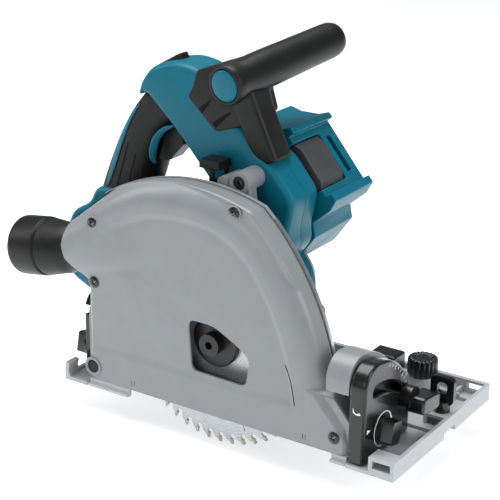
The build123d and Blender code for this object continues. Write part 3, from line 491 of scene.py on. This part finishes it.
def smoothStep(x, low, high):
    # 3 t^2 - 2 t^3, with t from 0 at low to 1 at high
    t = np.clip((x - low) / (high - low), 0, 1)
    return t * t * (3 - 2 * t)


def caseOutline(v):
    # foot, large arc about the pivot, dome about its centre, top and foot of the tube, back corner
    (cx, cz), (px, pz) = v["domeCentre"], v["pivot"]
    t = np.linspace(0, np.pi, 1500)
    dome = np.stack([cx + v["domeRadius"] * np.cos(t), cz + v["domeRadius"] * np.sin(t)], -1)
    inArc = np.hypot(dome[:, 0] - px, dome[:, 1] - pz) < v["frontRadius"]
    dome = dome[inArc & (dome[:, 0] > v["back"]) & (dome[:, 0] > v["tubeTop"][1][0])]
    low = math.asin((v["footTop"] - pz) / v["frontRadius"])
    t = np.linspace(low, np.pi / 2, 900)
    arc = np.stack([px + v["frontRadius"] * np.cos(t), pz + v["frontRadius"] * np.sin(t)], -1)
    arc = arc[np.hypot(arc[:, 0] - cx, arc[:, 1] - cz) < v["domeRadius"]]
    return np.concatenate([footFace(v), arc, dome, v["tubeTop"][::-1], v["tubeFoot"],
                           [(v["back"], v["bottom"])]])


def footFace(v):
    # lower and upper end of the foot's front edge
    return [(v["footFront"], v["bottom"]), (v["footFront"], v["bottom"] + v["footHeight"])]


def rayLengths(loop, centre, angles):
    # distance from the centre to the outline at each angle, between its dense points
    dense = np.concatenate([loop, loop[:1]])
    step = np.linspace(0, 1, 40, endpoint=False)[None, :, None]
    dense = (dense[:-1, None] * (1 - step) + dense[1:, None] * step).reshape(-1, 2) - centre
    turn = np.arctan2(dense[:, 1], dense[:, 0])
    order = np.argsort(turn)
    return np.interp(angles, turn[order], np.hypot(*dense[order].T), period=2 * np.pi)


def softMin(a, b, reach):
    # smaller of two heights with the corner between them rounded
    h = np.clip(0.5 + 0.5 * (b - a) / reach, 0, 1)
    return a * h + b * (1 - h) - reach * h * (1 - h)


def caseRelief(x, z, v):
    # y of the near face: elliptic rim over the edge distance, dished panel with two creases, ledge,
    # chamfered foot, and the dust tube joined by the softer minimum
    dome = v["domeRadius"] - np.hypot(x - v["domeCentre"][0], z - v["domeCentre"][1])
    front = v["frontRadius"] - np.hypot(x - v["pivot"][0], z - v["pivot"][1])
    (ax, az), (bx, bz) = v["tubeTop"]
    slant = ((x - ax) * (bz - az) - (z - az) * (bx - ax)) / math.hypot(bx - ax, bz - az)
    edge = softMin(softMin(dome, front, v["rimBlends"][0]), slant, v["rimBlends"][1])
    edge = np.maximum(edge, 0)
    w = v["rimWidth"]
    rise = v["rimHeight"] * np.sqrt(np.maximum(1 - (np.maximum(w - edge, 0) / w) ** 2, 0))
    back = np.clip((x - v["back"]) / v["backRound"], 0, 1)
    rise = rise - v["backDrop"] * (1 - np.sqrt(1 - (1 - back) ** 2)) * (1 - smoothStep(z, *v["backFade"]))
    y = v["near"] + (v["rimHeight"] - rise)
    dish = smoothStep(edge, w + v["dishFrom"], w + v["dishTo"])
    dish = dish * smoothStep(z, v["ledgeFoot"], v["ledgeTop"])
    dip = v["panelDip"]
    for height, fall, start, depth in v["creases"]:
        dip = dip - np.clip((height - fall * (x - start) - z) * v["creaseSlope"], 0, depth)
    y = y + dish * dip
    foot = smoothStep(x, *v["footEdge"]) * smoothStep(v["footBelow"] - z, 0, v["footBlend"])
    y = y * (1 - foot) + v["near"] * foot
    bevelX, bevelZ = v["bevelFrom"]
    bevel = np.maximum(x - bevelX + v["bevelLean"] * (z - bevelZ), 0) * v["bevelShare"]
    chamfer = np.maximum(x - (v["footFront"] - v["chamferWidth"]), 0) + bevel
    y = y + np.minimum(chamfer, v["chamferDepth"]) * foot * smoothStep(x, *v["chamferEdge"])
    axis = v["tubeAxis"][1] + v["tubeLean"] * (x - v["tubeAxis"][0])
    above = np.maximum(az + (x - ax) * (bz - az) / (bx - ax) - axis, v["tubeAbove"])
    s = np.where(z > axis, (z - axis) / above, (axis - z) / v["tubeRadius"])
    fade = smoothStep(x, v["tubeFrom"], v["tubeEnd"])
    hollow = v["tubeDepth"] * (1 - np.sqrt(1 - np.clip(s, 0, 1) ** 2))
    tube = v["near"] - v["tubeStand"] + v["tubeSink"] * fade + hollow
    inFront = smoothStep(x, *v["tubeMouth"])
    return tube * (1 - inFront) + softMin(y, tube, v["tubeBlend"]) * inFront


def makeCaseCover(v):
    # rays from the window to the outline, (1 - t) w + t o, lifted by the relief; then the outer wall
    # back to the seam
    outline, window = caseOutline(v), roundedLoop(v["window"], v["windowRound"])
    centre = np.array(v["windowCentre"], float)
    corners = np.array([*footFace(v), v["footCorner"], (v["back"], v["bottom"]),
                        *v["tubeTop"], *v["tubeFoot"]]) - centre
    turns = np.arctan2(corners[:, 1], corners[:, 0])
    angles = np.sort(np.concatenate([np.linspace(-np.pi, np.pi, v["around"], endpoint=False), turns]))
    ray = np.stack([np.cos(angles), np.sin(angles)], -1)
    inner, outer = rayLengths(window, centre, angles), rayLengths(outline, centre, angles)
    t = 1 - (1 - np.linspace(0, 1, v["rows"])) ** v["rowPower"]
    reach = inner[None] * (1 - t[:, None]) + outer[None] * t[:, None]
    flat = centre + reach[..., None] * ray
    y = caseRelief(flat[..., 0], flat[..., 1], v)
    face = np.stack([flat[..., 0], y, flat[..., 1]], -1)
    share = np.linspace(0, 1, v["wallRows"] + 1)[1:, None]
    wall = np.stack([0 * share + flat[-1, :, 0], y[-1] * (1 - share) + v["seam"] * share,
                     0 * share + flat[-1, :, 1]], -1)
    points = np.concatenate([face, wall])
    faces = quadsOf(len(points), points.shape[1], True).tolist()
    piece = newPiece("caseCover", points, faces, "castGrey")
    shell = piece.modifiers.new("shell", "SOLIDIFY")
    shell.thickness, shell.offset, shell.use_rim = v["wall"] * mm, -1, True
    fit(piece, "case", ["case_cover"])
    middle = piece.data.polygons[len(piece.data.polygons) // 3]
    if middle.normal.y > 0:
        piece.data.flip_normals()


makeCaseCover(case)


# cover screws, each in a raised cup; profiles are (radius, distance) from the face
screws = {
    "spots": [(2.5, 134.5), (2.5, 87.5), (127.5, 166.0), (216.0, 19.0)],
    "radius": 4.5, "height": 1.1, "stand": 0.2, "skirt": 2.2, "rows": 16, "around": 48, "turn": 0.5,
    "crossLength": 2.5, "crossHalf": 0.825, "crossDepth": 1.6, "armBlend": 0.5, "endBlend": 0.7,
    "cupSeat": 4, "cup": [(5.9, 0.4), (5.6, -0.15), (5.2, -0.35), (4.75, -0.1), (4.6, 0.7)],
}


def crossArm(along, across, v):
    # 1 within the arm's half width and length, falling smoothly to 0 at both
    return (smoothStep(v["crossHalf"] - across, 0, v["armBlend"])
            * smoothStep(v["crossLength"] - along, 0, v["endBlend"]))


def screwHead(centre, near, v):
    # dome height (1 - (r / radius)^2) over a disc, less two crossed arms, with a skirt behind it
    r = np.linspace(0.02, 1, v["rows"])[:, None] * v["radius"]
    a = np.linspace(0, 2 * np.pi, v["around"], endpoint=False)[None, :]
    x, z = r * np.cos(a), r * np.sin(a)
    c, s = np.cos(v["turn"]), np.sin(v["turn"])
    p, q = np.abs(x * c + z * s), np.abs(z * c - x * s)
    arm = np.maximum(crossArm(p, q, v), crossArm(q, p, v))
    y = near - v["height"] * (1 - (r / v["radius"]) ** 2) + v["crossDepth"] * arm
    top = np.stack([centre[0] + x, y + 0 * x, centre[1] + z], -1)
    skirt = top[-1:].copy()
    skirt[..., 1] += v["skirt"]
    return np.concatenate([top, skirt])


seatTurn = np.linspace(0, 6, 13)
seatX, seatZ = screws["cupSeat"] * np.cos(seatTurn), screws["cupSeat"] * np.sin(seatTurn)
for number, (x, z) in enumerate(screws["spots"]):
    near = float(caseRelief(x + seatX, z + seatZ, case).mean())
    skin("coverScrew%d" % number, screwHead((x, z), near - screws["stand"], screws), "glossBlack", "case",
         ["cover_screws"] if number == 0 else ())
    skin("screwCup%d" % number, turnedRings((x, near, z), (0, 1, 0), screws["cup"], 48), "castGrey",
         "case", capped=False)

# ring about the pivot, and in it a black disc as painted shade where its hole is dark
pivotRing = {
    "centre": (0, -15.5, 17),
    "outside": [(8.0, 1.5), (7.8, -0.7), (7.2, -1.1), (6.0, -1.1), (5.4, -0.7), (5.2, 1.5)],
    "shadeDisc": [(5.3, 1.0), (5.2, -0.15), (3.0, -0.1), (0.4, -0.1)],
}
skin("pivotRing", turnedRings(pivotRing["centre"], (0, 1, 0), pivotRing["outside"], 64), "castGrey", "case",
     capped=False)
# black disc just behind the ring's rim: painted shade of the pivot's hole
skin("pivotHoleShade", turnedRings(pivotRing["centre"], (0, 1, 0), pivotRing["shadeDisc"], 48), "black", "case")

# dark line on the case and four small bars at its foot
caseLines = {"line": [(174.0, 62.9), (179.4, 51.2), (183.1, 34.2)], "half": 0.3, "thick": 0.3,
             "bars": (37.2, 39.8, 190.4, 192.6), "barHeights": (14.4, 12.5, 10.6), "barHalf": 0.25,
             "barThick": 0.1}
linePath = np.array(caseLines["line"])
linePath = np.insert(linePath, 1, caseRelief(linePath[:, 0], linePath[:, 1], case), axis=1)
ribbon("caseLine", linePath, caseLines["half"], caseLines["thick"], (0, -1, 0), "deepBlack", "case")
for number, x in enumerate(caseLines["bars"]):
    ribbon("caseBar%d" % number, [(x, case["near"], z) for z in caseLines["barHeights"]],
           caseLines["barHalf"], caseLines["barThick"], (0, -1, 0), "terminalGrey", "case")
print("case made")


# handle body in two halves, and the panel across it; outlines are (x, z)
handle = {
    "near": 36.3, "far": 74.7, "seam": 55.5, "seamGap": 0.1, "seamEdge": 0.25, "edge": 5.0,
    "bodyRound": 7, "bodyStep": 1.0,
    "body": [(-62, 118), (-44, 128), (-38, 142), (4, 149.5), (60, 147), (76, 152), (74, 166), (40, 202.5),
             (13, 227.5), (6, 221.5), (8.5, 233), (18, 245.5), (30, 251), (44, 253), (62, 250), (72, 240),
             (92, 222), (116, 194), (126, 190), (147, 165), (141, 137), (143, 126), (127, 104), (100, 96),
             (60, 92), (20, 84), (-34, 82), (-40, 50), (-66, 62), (-70, 100)],
    "panelNear": 35.9, "panelFar": 75.1, "panelEdge": 1.2, "panelRound": 2.5,
    "panel": [(62.3, 250), (58.4, 237), (53.6, 229), (76.2, 208.4), (80, 206.4), (99.2, 212.4),
              (109, 220), (104, 236), (108, 246), (98, 258), (84, 258)],
}
bodyLoop = evenLoop(roundedLoop(handle["body"], handle["bodyRound"]), handle["bodyStep"])
nearSides = roundedSides(handle["near"], handle["seam"] - handle["seamGap"], handle["edge"],
                         handle["seamEdge"])
farSides = roundedSides(handle["seam"] + handle["seamGap"], handle["far"], handle["seamEdge"],
                        handle["edge"])
pillow("handleBodyNear", bodyLoop, nearSides, "teal", "unit", ["handle_shell_near"])
pillow("handleBodyFar", bodyLoop, farSides, "teal", "unit", ["handle_shell_far"])

# grip: its outer and inner side lines as (x, z), and a teal strip on each side of it
grip = {
    "outer": [(-42, 132), (-36.5, 147), (-29, 166), (-20.5, 184), (-10, 203), (0, 217), (11, 229),
              (17, 234)],
    "inner": [(13, 140), (12, 149), (17, 163), (20, 174), (22.5, 187), (30, 197), (38, 202.5),
              (46, 207)],
    "degree": 5, "half": 17.6, "middle": 55.5, "power": 2.5, "rows": 60, "around": 96,
    "stripAngle": 0.98, "stripLean": 0.35, "stripFrom": 0.12, "stripLength": 0.6, "stripWidth": 0.16,
    "stripTaper": (1.25, 0.9), "stripColumns": 15, "stripLift": 0.35, "stripThickness": 0.6,
}


def gripPoints(v, t, a, lift=0.0):
    # point of the grip: its two side lines as polynomials of t, and |c|^(2/p), |s|^(2/p) of the
    # section's angle a
    knots = np.linspace(0, 1, len(v["outer"]))
    lines = [np.stack([np.polyval(np.polyfit(knots, np.array(v[side])[:, i], v["degree"]), t)
                       for i in (0, 1)], -1) for side in ("outer", "inner")]
    c = np.sign(np.cos(a)) * np.abs(np.cos(a)) ** (2 / v["power"])
    s = np.sign(np.sin(a)) * np.abs(np.sin(a)) ** (2 / v["power"])
    half = (lines[0] - lines[1]) / 2
    centre = (lines[0] + lines[1]) / 2
    grow = 1 + lift / np.linalg.norm(half, axis=-1)
    xz = centre + half * (c * grow)[..., None]
    y = v["middle"] + (v["half"] + lift) * s
    return np.stack([xz[..., 0], y + 0 * xz[..., 0], xz[..., 1]], -1)


def stripPoints(v, angle):
    # the grip's surface lifted by stripLift (1 - k^6), k from -1 to 1 across a strip that closes at
    # both ends and leans from the angle
    t = np.linspace(v["stripFrom"], v["stripFrom"] + v["stripLength"], v["rows"])[:, None]
    share = np.clip((t - v["stripFrom"]) / v["stripLength"], 0, 1)
    width = v["stripWidth"] * np.sin(np.pi * share) ** 0.5 * (v["stripTaper"][0] - v["stripTaper"][1] * t)
    across = np.linspace(-1, 1, v["stripColumns"])[None, :]
    lift = v["stripLift"] * (1 - across ** 6)
    a = angle + v["stripLean"] * (0.5 - t) * np.sign(angle) + across * width
    return gripPoints(v, t + 0 * across, a, lift + 0 * t)


gripT, gripA = np.meshgrid(np.linspace(0, 1, grip["rows"]),
                           np.linspace(0, 2 * np.pi, grip["around"], endpoint=False), indexing="ij")
skin("rearGrip", gripPoints(grip, gripT, gripA), "softGrip", "unit", ["rear_grip"])
for side, angle in (("Near", -grip["stripAngle"]), ("Far", grip["stripAngle"])):
    strip = newPiece("gripStrip" + side, stripPoints(grip, angle),
                     quadsOf(grip["rows"], grip["stripColumns"], False).tolist(), "teal")
    fit(strip, "unit", turned=False)
    strip.modifiers.new("thickness", "SOLIDIFY").thickness = grip["stripThickness"] * mm
pillow("handlePanel", roundedLoop(handle["panel"], handle["panelRound"]),
       roundedSides(handle["panelNear"], handle["panelFar"], handle["panelEdge"], handle["panelEdge"]),
       "black", "unit")

# front bar and its end cap; profiles are (radius, distance) from the start towards the end
bar = {
    "start": (97, 22, 246), "end": (112, 150, 261),
    "profile": [(12.0, -0.2), (12.6, -1.0), (13.6, -1.3), (14.6, -0.8), (15.0, 0.6), (15.0, 6), (14.2, 9),
                (13.9, 14), (14.2, 22), (14.6, 34), (14.5, 52), (14.2, 75), (13.9, 100), (13.8, 117),
                (13.4, 123), (12.3, 126.6), (10.4, 128.6), (7.5, 129.4), (3, 129.6)],
    "cap": [(11.7, 1.0), (11.8, -0.8), (11.3, -1.6), (10.0, -2.0), (6, -2.3), (0.5, -2.4)],
}
barWay = np.subtract(bar["end"], bar["start"])
skin("frontBar", turnedRings(bar["start"], barWay, bar["profile"], 80), "black", "unit",
     ["front_handle"])
skin("barEndCap", turnedRings(bar["start"], barWay, bar["cap"], 72), "teal", "unit",
     ["handle_end_cap"])

# post between the bar and the body, with a ridge down its near face
post = {
    "top": (101, 46, 238), "bottom": (121, 50, 188), "halfAcross": 12.5, "halfOut": 10.5, "power": 5,
    "swell": 0.12, "swellEnd": 0.3, "ridge": 1.6, "ridgeAt": 0.15, "ridgeWidth": 0.25,
    "ridgeStart": (0.15, 0.3), "rows": 26, "around": 72,
}


def sweepPost(v):
    # rounded box section |a|^n + |b|^n = 1 carried from under the bar down to the body, swelling at its top
    t = np.linspace(0, 1, v["rows"])[:, None]
    start, end = np.array(v["top"]), np.array(v["bottom"])
    path = start * (1 - t) + end * t
    d = (end - start) / np.linalg.norm(end - start)
    across, out = np.array([0.0, 1.0, 0.0]), np.cross(d, [0.0, 1.0, 0.0])
    a = np.linspace(0, 2 * np.pi, v["around"], endpoint=False)[None, :]
    power = 2 / v["power"]
    c = np.sign(np.cos(a)) * np.abs(np.cos(a)) ** power
    s = np.sign(np.sin(a)) * np.abs(np.sin(a)) ** power
    swell = 1 + v["swell"] * (1 - smoothStep(t, 0, v["swellEnd"]))
    bump = np.exp(-((c - v["ridgeAt"]) / v["ridgeWidth"]) ** 2)
    ridge = v["ridge"] * bump * (s < 0) * smoothStep(t, *v["ridgeStart"])
    return (path[:, None] + (c * v["halfAcross"] * swell)[..., None] * across
            + ((s * v["halfOut"] * swell) - ridge)[..., None] * out)


skin("barPost", sweepPost(post), "black", "unit")

# trigger lip: a crescent on each side of the grip, as (x, z)
lip = {
    "path": [(39.5, 204), (30, 199.5), (22.5, 191), (19.5, 182), (19, 176), (21, 171.5)],
    "half": (0.6, 2.2, 3.0, 3.2, 2.6, 0.8), "thick": (0.8, 1.6, 1.6, 1.6, 1.4, 0.6), "lean": 0.45,
    "sides": (("Near", 39.0, -1), ("Far", 72.0, 1)),
}
for side, y, out in lip["sides"]:
    ribbon("triggerLip" + side, [(x, y, z) for x, z in lip["path"]], lip["half"], lip["thick"],
           (lip["lean"], out, 0), "teal", "unit")

# fine ridges down the grip, each from its top to its foot as (x, z)
ridges = {"ends": (((-4, 184), (-22, 128)), ((3, 176), (-12, 128)), ((9, 166), (0, 128))),
          "y": 37.55, "steps": (0, 0.33, 0.66, 1), "half": 0.28, "thick": 0.22}
for number, (top, foot) in enumerate(ridges["ends"]):
    path = [(top[0] * (1 - t) + foot[0] * t, ridges["y"], top[1] * (1 - t) + foot[1] * t)
            for t in ridges["steps"]]
    ribbon("gripRidge%d" % number, path, ridges["half"], ridges["thick"], (0, -1, 0), "black", "unit")

# two grooves in the panel, as (x, z) with their half widths; each is painted shade, a dark matte strip
# lying on the panel's face
grooves = {"y": 35.85, "thick": 0.12,
           "Upper": ([(74.5, 229.5), (70, 224.5), (65.4, 219.9)], (0.6, 1.5, 2.0)),
           "Lower": ([(92, 222.6), (85, 217.2), (77.7, 210.9)], (0.6, 1.7, 2.3))}
for end in ("Upper", "Lower"):
    path, half = grooves[end]
    # painted shade of the groove: a flat dark strip on the face, not a cut
    ribbon("panelGrooveShade" + end, [(x, grooves["y"], z) for x, z in path], half, grooves["thick"],
           (0, -1, 0), "deepBlack", "unit")
print("handle made")


# dust cuff; outside is (radius, distance) along its axis, out over the cuff and back through its bore
nozzle = {
    "origin": (-4.0, -1.0, 107.7), "direction": (-0.99, 0, -0.14),
    "outside": [(17.2, -2), (17.4, 10), (17.5, 20), (18.6, 23.5), (19.6, 26), (20.4, 32), (21.4, 38),
                (22.2, 43), (22.5, 45.6), (22.6, 46.6), (22.0, 47.0), (22.0, 47.8), (22.6, 48.2),
                (23.2, 48.6), (23.4, 50), (23.5, 56), (23.5, 70), (23.2, 72.6), (22.4, 73.8),
                (21.2, 74.2), (20.2, 73.8), (19.6, 72.6), (19.5, 70), (19.5, 48.5), (16.6, 40),
                (15.6, -2)],
}
skin("dustCuff", turnedRings(nozzle["origin"], nozzle["direction"], nozzle["outside"], 96), "cuffRubber",
     "nozzle", ["dust_nozzle"], capped=False)

# rail knobs with 18 lobes, each on a steel stem; profiles are (radius, height)
knobs = {
    "places": {"front_rail_knob": (224.0, 103, 0), "rear_rail_knob": (40.0, 103, 0)},
    "profile": [(9.8, 24.9), (11.0, 25.3), (11.6, 26.4), (11.6, 36.8), (11.2, 38.2), (10.2, 38.9),
                (8.0, 39.1), (7.4, 38.6), (6.9, 38.3), (4, 38.2), (0.6, 38.2)],
    "lobes": 18, "lobeDepth": 0.13, "stem": [(3, 10), (3, 26)],
}
for name, place in knobs["places"].items():
    rings = turnedRings(place, (0, 0, 1), knobs["profile"], 144, knobs["lobes"], knobs["lobeDepth"])
    skin(name + "_look", rings, "glossBlack", name, [name])
    skin(name + "_stem", turnedRings(place, (0, 0, 1), knobs["stem"], 32), "steel", name)

# width of the rounded edges of each part that keeps the shape of its node
edgeWidths = {
    "base_plate": 0.6, "front_bracket": 1.6, "rear_bracket": 0.6, "battery_housing": 1.3,
    "gear_housing": 0.8, "slide_lever": 0.8, "front_quadrant": 1.8, "rear_quadrant": 0.8,
    "front_stop_dial": 0.8, "rear_stop_dial": 0.8, "front_clamp_knob": 0.9, "rear_clamp_knob": 0.9,
    "front_rule_screw": 0.7, "rear_rule_screw": 0.7, "change_lever": 0.7, "front_terminal_block": 0.5,
    "rear_terminal_block": 0.5, "trigger": 2.2, "lock_off_button": 1.0, "edge_runners": 0.4,
    "depth_stop": 0.8, "motor_end_cap": 0.5,
}
for node, width in edgeWidths.items():
    softened(node, width)
print("hard parts rounded")

# white marks: arc and triangle by the dial, curved arrow, and the bevel scale's ticks
marks = {
    "face": 240.05, "dialCentre": (11.5, 22), "dialRadius": 12.8, "dialFrom": 15, "dialTo": 262,
    "dialPoints": 9, "dialHalf": (0.9, 0.45, 0.45, 0.45, 0.45, 0.45, 0.9), "thick": 0.08,
    "pointer": [(-12.2, 28.6), (-9.8, 28.4), (-7.4, 28.2)], "pointerHalf": (1.7, 0.9, 0.1),
    "arrow": [(230.6, 46.2), (231.0, 43.4), (233.4, 42.2), (236.2, 43.0)], "arrowY": -16.03,
    "arrowHalf": (0.2, 0.5, 0.5, 0.9),
    "tickFace": 240.03, "tickCentre": 20, "tickFrom": 8, "tickTo": 70, "ticks": 12, "tickEnd": 52.4,
    "tickStarts": (49.0, 50.5, 50.5), "tickHalf": 0.22, "tickThick": 0.06,
}
turn = np.radians(np.linspace(marks["dialFrom"], marks["dialTo"], marks["dialPoints"]))
dialArc = np.stack([0 * turn + marks["face"], marks["dialCentre"][0] + marks["dialRadius"] * np.cos(turn),
                    marks["dialCentre"][1] + marks["dialRadius"] * np.sin(turn)], -1)
ribbon("dialArc", dialArc, marks["dialHalf"], marks["thick"], (1, 0, 0), "markWhite", "base",
       60)
ribbon("dialPointer", [(marks["face"], y, z) for y, z in marks["pointer"]], marks["pointerHalf"],
       marks["thick"], (1, 0, 0), "markWhite", "base")
ribbon("bevelArrow", [(x, marks["arrowY"], z) for x, z in marks["arrow"]], marks["arrowHalf"],
       marks["thick"], (0, -1, 0), "markWhite", "base")
tickAngles = np.radians(np.linspace(marks["tickFrom"], marks["tickTo"], marks["ticks"]))
for number, angle in enumerate(tickAngles):
    radii = np.linspace(marks["tickStarts"][number % 3], marks["tickEnd"], 3)
    path = [(marks["tickFace"], r * np.cos(angle), marks["tickCentre"] + r * np.sin(angle)) for r in radii]
    ribbon("bevelTick%d" % number, path, marks["tickHalf"], marks["tickThick"], (1, 0, 0), "markWhite",
           "base", 6)
print("marks made")
